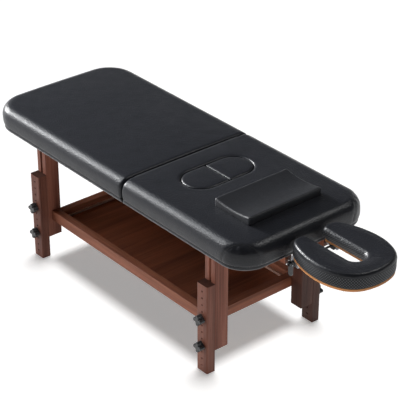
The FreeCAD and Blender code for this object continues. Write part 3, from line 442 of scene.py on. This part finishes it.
def arch_line(side, count=70):
    """Line of a gusset's seam: half an ellipse, cut off just above its foot and laid on the corner, its width
    measured in turn about the corner's middle and its height up the side and then round the roll."""
    cut_off = 0.03
    sweep = np.linspace(cut_off, math.pi - cut_off, count)
    turn = arch_middle - arch_half * np.cos(sweep)
    climb = arch_high * np.sin(sweep)
    bend = np.maximum(climb - (roll_start - cover_low), 0) / roll
    reach = corner_reach - roll * (1 - np.cos(bend))
    height = cover_low + np.minimum(climb, roll_start - cover_low) + roll * np.sin(bend)
    along, aside = corner_x + reach * np.cos(turn), corner_y - reach * np.sin(turn)
    return np.stack([along, side * aside, height], axis=-1)


def nearest_gap(points, line):
    """Distance from each point to the closest point of a line."""
    return np.sqrt(((points[:, None] - line[None]) ** 2).sum(axis=-1)).min(axis=1)


def draw_in_corner(points, outward, side):
    """Cover points moved inward near one gusset: a groove that fades with the distance from the seam, and a
    hollow inside the arch that deepens towards its top, with three puckers below the top."""
    close = np.flatnonzero((points[:, 0] > corner_x - gusset_span)
                           & (side * points[:, 1] > corner_y - gusset_span))
    here = points[close]
    groove = groove_deep * np.exp(-(nearest_gap(here, arch_line(side)) / groove_wide) ** 2)
    turn = -np.arctan2(side * here[:, 1] - corner_y, here[:, 0] - corner_x)
    bend = np.arcsin(np.clip((here[:, 2] - roll_start) / roll, 0, 1))
    climb = np.where(here[:, 2] < roll_start, here[:, 2] - cover_low, roll_start - cover_low + roll * bend)
    across, up = (turn - arch_middle) / arch_half, climb / arch_high
    inside = np.clip(1 - across ** 2 - up ** 2, 0, 1)
    hollow = hollow_deep * np.sqrt(inside) * np.clip(up, 0, 1) ** 1.5
    near_top = np.exp(-((up - pucker_high) / pucker_tall) ** 2) * np.exp(-(across / pucker_wide) ** 2)
    pucker = pucker_deep * np.sin(across * pucker_turn) * near_top
    points[close] -= outward[close] * (groove + hollow + pucker)[:, None]


head_points, head_outward = places(head_cover.data), facings(head_cover.data)
for side in (-1, 1):
    draw_in_corner(head_points, head_outward, side)
put(head_cover.data, head_points)
seam_thread = speckled("seam_thread", (0.004, 0.004, 0.005), (0.008, 0.008, 0.009), 0.6, 900.0, 0.0001)


def grid_mesh(name, points, wrap_rows=False, wrap_columns=False):
    """A mesh of four-sided faces over a grid of points, joined round where a direction wraps. Points that
    fall together, as at a pole or a cap, become one."""
    rows, columns = points.shape[:2]
    index = np.arange(rows * columns).reshape(rows, columns)
    if wrap_rows:
        index = np.vstack([index, index[:1]])
    if wrap_columns:
        index = np.hstack([index, index[:, :1]])
    faces = np.stack([index[:-1, :-1], index[1:, :-1], index[1:, 1:], index[:-1, 1:]], axis=-1)
    mesh = bpy.data.meshes.new(name)
    mesh.from_pydata(points.reshape(-1, 3).tolist(), [], faces.reshape(-1, 4).tolist())
    merged = bmesh.new()
    merged.from_mesh(mesh)
    bmesh.ops.remove_doubles(merged, verts=merged.verts, dist=1e-6)
    bmesh.ops.recalc_face_normals(merged, faces=merged.faces)
    merged.to_mesh(mesh)
    merged.free()
    mesh.polygons.foreach_set("use_smooth", np.ones(len(mesh.polygons), bool))
    return mesh


def carried(path, outward, upward, profile, closed=False):
    """A closed profile carried along a path: each of its points is the path's point moved by the profile's
    first number outward and by its second upward. An open path gets both ends capped."""
    aside, above = profile[None, :, :1], profile[None, :, 1:]
    points = path[:, None] + outward[:, None] * aside + upward[:, None] * above
    if not closed:
        caps = points.mean(axis=1, keepdims=True) * np.ones((1, len(profile), 1))
        points = np.concatenate([caps[:1], points, caps[-1:]])
    return points


def ring(radius, count=8):
    """A round profile."""
    turn = np.linspace(0, 2 * math.pi, count, endpoint=False)
    return radius * np.stack([np.cos(turn), np.sin(turn)], axis=-1)


def trim(name, mesh, material, body):
    """A sewn-on or wrapped trim of the covers, which moves with a body."""
    piece = placed(name, mesh)
    mesh.materials.append(material)
    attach(piece, body)


def laid_on(cover, line, lift):
    """A line moved onto a cover's nearest skin, lifted along its normals. Gives its points and normals."""
    faces = [tuple(face.vertices) for face in cover.data.polygons]
    skin = BVHTree.FromPolygons(places(cover.data).tolist(), faces)
    hits = [skin.find_nearest(point) for point in line.tolist()]
    normals = np.array([hit[1] for hit in hits])
    return np.array([hit[0] for hit in hits]) + normals * lift, normals


def cord_along(line, normals, radius, closed=False):
    """A round cord along a line: its profile stands across the line, on the normals."""
    ahead = np.roll(line, -1, 0) - np.roll(line, 1, 0) if closed else np.gradient(line, axis=0)
    sideways = np.cross(ahead, normals)
    sideways /= np.linalg.norm(sideways, axis=1, keepdims=True)
    return carried(line, sideways, normals, ring(radius, 6), closed)


for label, side in (("near", -1), ("far", 1)):
    seam_line, seam_normals = laid_on(head_cover, arch_line(side), -0.0002)
    seam_cord = cord_along(seam_line, seam_normals, 0.001)
    seam_mesh = grid_mesh(f"gusset_seam_{label}", seam_cord, wrap_columns=True)
    trim(f"gusset_seam_{label}", seam_mesh, seam_thread, "backrest")


# Hems: the covers' lower edges are drawn round the decks and stapled below, with a narrow grey edging
# along the three free sides of each section; its pale grey is partly a painted highlight along the lower
# edge.
def pad_edge(seam, end, half, corner):
    """Plan line of a section's free sides, from the seam along the near side, round the end's two corners
    and back along the far side: straight runs joined by quarter circles. Gives the points and the outward
    directions."""
    ahead = 1.0 if end > seam else -1.0
    run = np.linspace(seam, end - ahead * corner, 60)
    cross = np.linspace(corner - half, half - corner, 40)
    turn = np.linspace(-math.pi / 2, 0, 18)[1:-1]
    near = np.stack([run, np.full_like(run, -half)], axis=-1)
    across = np.stack([np.full_like(cross, end), cross], axis=-1)
    bow_out = np.stack([ahead * np.cos(turn), np.sin(turn)], axis=-1)
    bow = (end - ahead * corner, corner - half) + corner * bow_out
    flip = np.array([1, -1])
    points = np.concatenate([near, bow, across, bow[::-1] * flip, near[::-1] * flip])
    outward = np.concatenate([np.tile((0.0, -1.0), (len(run), 1)), bow_out,
                              np.tile((ahead, 0.0), (len(cross), 1)), bow_out[::-1] * flip,
                              np.tile((0.0, 1.0), (len(run), 1))])
    return points, outward


def at_height(plan, height):
    """Plan points, or directions, with a height."""
    return np.column_stack([plan, np.full(len(plan), height)])


# The edging's grey is partly its own colour and partly a painted highlight, made paler to show as a light
# line.
grey_edging_and_highlight = vinyl("grey_edging_and_highlight", (0.12, 0.117, 0.12), (0.155, 0.152, 0.155), 0.45, 0.1)
hem_profile = 0.001 * np.array([(-1, 1), (2, 0.8), (3, 2), (3.2, 9), (3, 16.2), (2, 17.4), (-1, 17.6)])
edging_profile = ring(0.002) + (0.0026, 0.0028)
for section, body, corner in (("foot", "table_frame", 0.143), ("head", "backrest", 0.120)):
    low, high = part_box(f"{section}_deck")
    seam, end = (high.x, low.x) if section == "foot" else (low.x, high.x)
    edge, edge_out = pad_edge(seam, end, high.y, corner)
    path, outward = at_height(edge, low.z), at_height(edge_out, 0.0)
    upward = at_height(edge * 0, 1.0)
    hem = grid_mesh(f"{section}_hem", carried(path, outward, upward, hem_profile), wrap_columns=True)
    trim(f"{section}_hem", hem, black_vinyl, body)
    edging = grid_mesh(f"{section}_edging", carried(path, outward, upward, edging_profile), wrap_columns=True)
    trim(f"{section}_edging", edging, grey_edging_and_highlight, body)


# Plugs of the breath opening: two loose foam blocks in the same vinyl, each half a stadium in plan.
# They drop into the opening and rest on the deck's ledge.
for side in ("near", "far"):
    plug_cover = softened(f"plug_{side}_cover", f"plug_{side}", 0.0045, 0.001, black_vinyl, ease_steps=12)
    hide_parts(f"plug_{side}")
    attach(plug_cover, f"plug_{side}")


# Pillow: a loose slab of firm foam in vinyl with a shallow hollow for the neck, lying on the head section.
# Its cover is cut in panels, so its edges stay crisp.
dull_vinyl = vinyl("dull_vinyl", (0.0125, 0.0132, 0.016), (0.018, 0.0188, 0.0225), 0.48, 0.2)
pillow_cover = softened("pillow_cover", "pillow", 0.0045, 0.0015, dull_vinyl)
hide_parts("pillow")
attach(pillow_cover, "pillow")


# Cradle's carrying parts: stained blocks under the head deck take two steel rods with plate knuckles, and
# grey arms turn on a pivot rod outside the knuckles. A black cam lever clamps them without tools.
grey_metal = speckled("grey_metal", (0.33, 0.34, 0.36), (0.45, 0.46, 0.48), 0.42, 1100.0, 0.0002,
                      Metallic=0.9)
dress(long_wood, "cradle_socket_near", "cradle_socket_far")
dress(black_steel, "cradle_pivot_rod", "cradle_pivot_nut")
dress(black_plastic, "cradle_knuckle_near", "cradle_knuckle_far", "cam_lever", "cradle_spacers")
dress(bright_steel, "cradle_rod_near", "cradle_rod_far", "cam_pin")
dress(grey_metal, "cradle_arm_near", "cradle_arm_far")


# Cradle platform: a horseshoe sawn from plywood, screwed to the spacers, with an oiled orange edge.
# Only its edge and underside show.
platform_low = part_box("cradle_platform")[0].z
cradle_ply = layered("cradle_ply", 0.0014, platform_low, (0.36, 0.17, 0.07), (0.55, 0.3, 0.14),
                     (0.24, 0.09, 0.03), (0.56, 0.26, 0.1))
dress(cradle_ply, "cradle_platform")


# Cradle cushion: a horseshoe of soft foam with a vinyl top and a band of dotted cloth round its sides.
# It bulges over the face opening and tucks back to the platform below; a seam joins top and band.
cradle_x = 0.946


def at(x, y):
    """A plan point."""
    return np.array([x, y])


def short_arc(middle, first, last, count):
    """Points on the circle about a middle from one point towards another, the short way round."""
    start = math.atan2(*(first - middle)[::-1])
    swing = (math.atan2(*(last - middle)[::-1]) - start + math.pi) % (2 * math.pi) - math.pi
    turn = start + swing * np.linspace(0, 1, count, endpoint=False)
    return middle + math.dist(first, middle) * np.stack([np.cos(turn), np.sin(turn)], axis=-1)


def towards(start, target, length):
    """The point at a length from a start, in the direction of a target."""
    return start + (target - start) * length / math.dist(start, target)


def cradle_line(front=0.1935, back=0.214, half=0.182, flat=0.26, turn=0.13, long_arc=0.4, tip=0.075,
                face=0.046, end=0.082, corner=0.042, step=0.004):
    """Outline of the cushion as a closed loop of points about a step apart: tangent arcs from the front's
    middle round one arm and its tip, and back along the face opening to its end, then the same mirrored.
    Gives the points and how far along the loop each is from the front's middle."""
    front_middle, side_middle = at(front - flat, 0), at(0, half - flat)
    across = front_middle - side_middle
    climb = math.sqrt((flat - turn) ** 2 - (across @ across) / 4)
    turn_middle = (front_middle + side_middle) / 2 + at(across[1], -across[0]) * climb / math.hypot(*across)
    front_stop, side_start = (towards(middle, turn_middle, flat) for middle in (front_middle, side_middle))
    arm_middle = at(0, half - long_arc)
    tip_middle = at(tip - back, arm_middle[1] + math.sqrt((long_arc - tip) ** 2 - (tip - back) ** 2))
    arm_stop, tip_stop = towards(arm_middle, tip_middle, long_arc), at(-back, tip_middle[1])
    nose = tip_middle[1] - face
    nose_stop, inner_stop = at(nose - back, face), at(end - corner, face)
    inner_end = at(end, face - corner)
    half_loop = np.concatenate([
        short_arc(front_middle, at(front, 0), front_stop, 30),
        short_arc(turn_middle, front_stop, side_start, 40),
        short_arc(side_middle, side_start, at(0, half), 20),
        short_arc(arm_middle, at(0, half), arm_stop, 30),
        short_arc(tip_middle, arm_stop, tip_stop, 40),
        short_arc(at(nose - back, tip_middle[1]), tip_stop, nose_stop, 30),
        np.linspace(nose_stop, inner_stop, 30, endpoint=False),
        short_arc(at(end - corner, face - corner), inner_stop, inner_end, 25),
        np.linspace(inner_end, at(end, 0), 3)])
    loop = np.concatenate([half_loop[:-1], half_loop[:0:-1] * at(1, -1)])
    length = np.concatenate([[0], np.cumsum(np.hypot(*np.diff(loop, axis=0, append=loop[:1]).T))])
    even = np.linspace(0, length[-1], int(length[-1] / step), endpoint=False)
    closed = np.concatenate([loop, loop[:1]])
    outline = np.stack([np.interp(even, length, closed[:, k]) for k in (0, 1)], axis=-1) + at(cradle_x, 0)
    return outline, np.where(even > length[-1] / 2, even - length[-1], even)


cradle_edge, cradle_length = cradle_line()
edge_ahead = np.roll(cradle_edge, -1, 0) - np.roll(cradle_edge, 1, 0)
edge_ahead /= np.linalg.norm(edge_ahead, axis=1, keepdims=True)
edge_out = np.stack([edge_ahead[:, 1], -edge_ahead[:, 0]], axis=-1)


def dotted(name, dot, thread, rough, pitch):
    """Woven cloth with rows of small pale dots, staggered: the product of two waves along the band and up it,
    over a fine thread grain."""
    material, tree, shader = new_finish(name, Specular_IOR_Level=0.3)
    band = add(tree, "Attribute", attribute_name="band_place")
    parts = add(tree, "SeparateXYZ", {"Vector": band.outputs["Vector"]})
    waves = [math_of(tree, "SINE", math_of(tree, "MULTIPLY", parts.outputs[axis], 2 * math.pi / pitch))
             for axis in ("X", "Y")]
    dots = spread(tree, math_of(tree, "MULTIPLY", *waves), 0.1, 0.5)
    marks = use_group(tree, speckle, {"Place": add(tree, "TexCoord").outputs["Object"], "Grain": 1400.0})
    cloth = mixed(tree, marks["Handled"], (*thread, 1), (*[tone * 1.35 for tone in thread], 1))
    gloss = spread(tree, marks["Handled"], 0, 1, rough, rough - 0.1)
    height = math_of(tree, "ADD", math_of(tree, "MULTIPLY", marks["Height"], 0.3), dots)
    feed(tree, shader, mixed(tree, dots, cloth, (*dot, 1)), gloss, height, 0.5, 0.0006)
    return material


cradle_cover = softened("cradle_cover", "cradle_cushion", 0.0045, 0.003, black_vinyl, ease_steps=6)
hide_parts("cradle_cushion")
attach(cradle_cover, "cradle_head")
cradle_points = places(cradle_cover.data)
offsets = cradle_points[:, None, :2] - cradle_edge[None]
to_edge = np.sqrt((offsets ** 2).sum(axis=-1))
closest, apart = to_edge.argmin(axis=1), to_edge.min(axis=1)
cradle_low, cradle_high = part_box("cradle_cushion")
above = cradle_points[:, 2] - cradle_low.z
wall_end, wall_fade, wall_thick = 0.36, 0.05, 0.028
from_inner_end = np.abs(cradle_length).max() - np.abs(cradle_length)
facing = np.clip((wall_end - from_inner_end) / wall_fade, 0, 1)
undercut_deep, undercut_high = 0.016, 0.036
bulge_deep, bulge_middle, bulge_half = 0.004, 0.046, 0.012
tuck_in = undercut_deep * np.clip(1 - above / undercut_high, 0, 1) ** 1.2
tuck_in -= bulge_deep * np.exp(-((above - bulge_middle) / bulge_half) ** 2)
shift = tuck_in * facing[closest] * np.exp(-(apart / wall_thick) ** 2)
cradle_points[:, :2] -= edge_out[closest] * shift[:, None]
to_face, to_rim = to_edge[:, facing > 0].min(axis=1), to_edge[:, facing == 0].min(axis=1)
dish_deep, dish_low, dish_fade = 0.008, 0.03, 0.03
dish = dish_deep * (to_face / (to_face + to_rim) - 0.5)
cradle_points[:, 2] += dish * np.clip((above - dish_low) / dish_fade, 0, 1)
put(cradle_cover.data, cradle_points)
beyond = (offsets[np.arange(len(closest)), closest] * edge_ahead[closest]).sum(axis=-1)
band_place = np.column_stack([cradle_length[closest] + beyond, above, above * 0])
stored = cradle_cover.data.attributes.new("band_place", "FLOAT_VECTOR", "POINT")
stored.data.foreach_set("vector", band_place.astype(np.float32).ravel())
band_cloth = dotted("band_cloth", (0.085, 0.09, 0.1), (0.009, 0.0095, 0.011), 0.6, 0.0125)
cradle_cover.data.materials.append(band_cloth)
face_up, face_at = (np.empty(len(cradle_cover.data.polygons) * 3, np.float32) for _ in range(2))
cradle_cover.data.polygons.foreach_get("normal", face_up)
cradle_cover.data.polygons.foreach_get("center", face_at)
seam_high, band_low, band_steep = cradle_high.z - 0.017, cradle_low.z + 0.003, 0.75
face_up, face_high = face_up[2::3], face_at[2::3]
on_band = (np.abs(face_up) < band_steep) & (face_high < seam_high) & (face_high > band_low)
cradle_cover.data.polygons.foreach_set("material_index", on_band.astype(np.int32))
cradle_seam, cradle_seam_out = laid_on(cradle_cover, at_height(cradle_edge, seam_high), 0.0)
seam_mesh = grid_mesh("cradle_seam", cord_along(cradle_seam, cradle_seam_out, 0.0009, True), True, True)
trim("cradle_seam", seam_mesh, seam_thread, "cradle_head")


# Studio: a pale floor that rises gently far away, with a sun of its own that only the tray and the leg
# extensions shade, and a camera above the head end. Soft box and fills light the table alone, a high sun its
# woodwork, and a low key from beyond the foot end its covers.
floor_radius, floor_turn = np.meshgrid(np.linspace(0, 60, 61),
                                       np.linspace(0, 2 * math.pi, 72, endpoint=False), indexing="ij")
floor_flat, floor_steep = 12, 0.004
floor_rise = floor_steep * np.maximum(floor_radius - floor_flat, 0) ** 2
floor_points = np.stack([floor_radius * np.cos(floor_turn), floor_radius * np.sin(floor_turn), floor_rise],
                        axis=-1)
floor = placed("floor", grid_mesh("floor", floor_points, wrap_columns=True))
floor_paint, floor_tree, floor_shader = new_finish("floor_paint", Roughness=0.9, Specular_IOR_Level=0.0,
                                                   Base_Color=(0.92, 0.92, 0.92, 1), Emission_Strength=1.0)
rays = add(floor_tree, "LightPath")
mirrored = math_of(floor_tree, "MAXIMUM", rays.outputs["Is Glossy Ray"], rays.outputs["Is Transmission Ray"])
seen = math_of(floor_tree, "MAXIMUM", rays.outputs["Is Camera Ray"], mirrored)
glow = mixed(floor_tree, seen, (0, 0, 0, 1), (0.32, 0.325, 0.325, 1))
floor_tree.links.new(glow, floor_shader.inputs["Emission Color"])
floor.data.materials.append(floor_paint)

world = bpy.data.worlds.new("studio")
bpy.context.scene.world = world
world.use_nodes = True
world.node_tree.nodes["Background"].inputs["Color"].default_value = (1, 1, 1, 1)
world.node_tree.nodes["Background"].inputs["Strength"].default_value = 0.02


def add_lamp(name, kind, place, target, energy, **settings):
    """One lamp of the studio at a place, turned to a target and hidden from the camera."""
    lamp = placed(name, bpy.data.lights.new(name, kind))
    lamp.data.energy = energy
    for key, value in settings.items():
        setattr(lamp.data, key, value)
    away = np.subtract(target, place)
    flat = math.hypot(away[0], away[1])
    lamp.location = place
    lamp.rotation_euler = (math.pi / 2 + math.atan2(away[2], flat), 0, math.atan2(-away[0], away[1]))
    lamp.visible_camera = False
    return lamp


high_sun = add_lamp("high_sun", "SUN", (-0.3, -0.2, 6), (0, 0, 0), 2.3, angle=math.radians(24))
floor_sun = add_lamp("floor_sun", "SUN", (-0.8, 1.0, 6), (0, 0, 0), 2.45, angle=math.radians(20))
soft_box = add_lamp("soft_box", "AREA", (-2.43, -1.42, 2.92), (-0.2, -0.38, 0.75), 122, shape="RECTANGLE",
                    size=2.0, size_y=3.0, color=(0.93, 0.965, 1.0))
far_key = add_lamp("far_key", "SUN", (-7.48, -1.59, 3.09), (0, 0, 0.75), 5.1, angle=math.radians(12))
head_fill = add_lamp("head_fill", "AREA", (1.1, 1.5, 3.3), (0.7, 0, 0.75), 26, shape="RECTANGLE",
                     size=1.0, size_y=1.0)
low_fill = add_lamp("low_fill", "AREA", (-2.4, -3.0, 0.9), (0.3, -0.3, 0.6), 66, shape="RECTANGLE",
                    size=2.0, size_y=1.2)
right_fill = add_lamp("right_fill", "AREA", (1.5, -1.1, 0.45), (0.42, -0.3, 0.35), 8.5, shape="RECTANGLE",
                      size=0.6, size_y=0.6)
for lamp in (high_sun, floor_sun, right_fill):
    lamp.visible_glossy = False


def chosen(name, pieces, state):
    """A collection of the pieces that a lamp's light or shadow is for, or that it leaves out."""
    group = bpy.data.collections.new(name)
    for piece in pieces:
        group.objects.link(piece)
    for entry in group.collection_objects:
        entry.light_linking.link_state = state
    return group


covers = [piece for piece in bpy.context.scene.objects if piece.name.endswith(("_cover", "_hem"))]
low_pieces = [piece for name, piece in frame["nodes"].items() if name.startswith(("tray_", "extension_"))]
table_lit = chosen("table_lit", [floor], "EXCLUDE")
flat_covers = [piece for piece in covers if piece is not pillow_cover]
woods_lit = chosen("woods_lit", [floor, *flat_covers], "EXCLUDE")
for lamp, lit in ((soft_box, table_lit), (head_fill, table_lit),
                  (low_fill, woods_lit), (right_fill, woods_lit),
                  (high_sun, chosen("covers_off", [floor, *covers], "EXCLUDE")),
                  (far_key, chosen("covers_lit", covers, "INCLUDE")),
                  (floor_sun, chosen("floor_lit", [floor], "INCLUDE"))):
    lamp.light_linking.receiver_collection = lit
floor_sun.light_linking.blocker_collection = chosen("floor_shade", low_pieces, "INCLUDE")

camera = placed("camera", bpy.data.cameras.new("camera"))
camera.data.lens = 139.95
camera.data.sensor_width = 36
camera.location = (4.7206, -3.9312, 4.0644)
camera.rotation_euler = (math.radians(90 - 29.68), 0, math.radians(50.23))
bpy.context.scene.camera = camera
bpy.context.scene.view_settings.view_transform = "Standard"
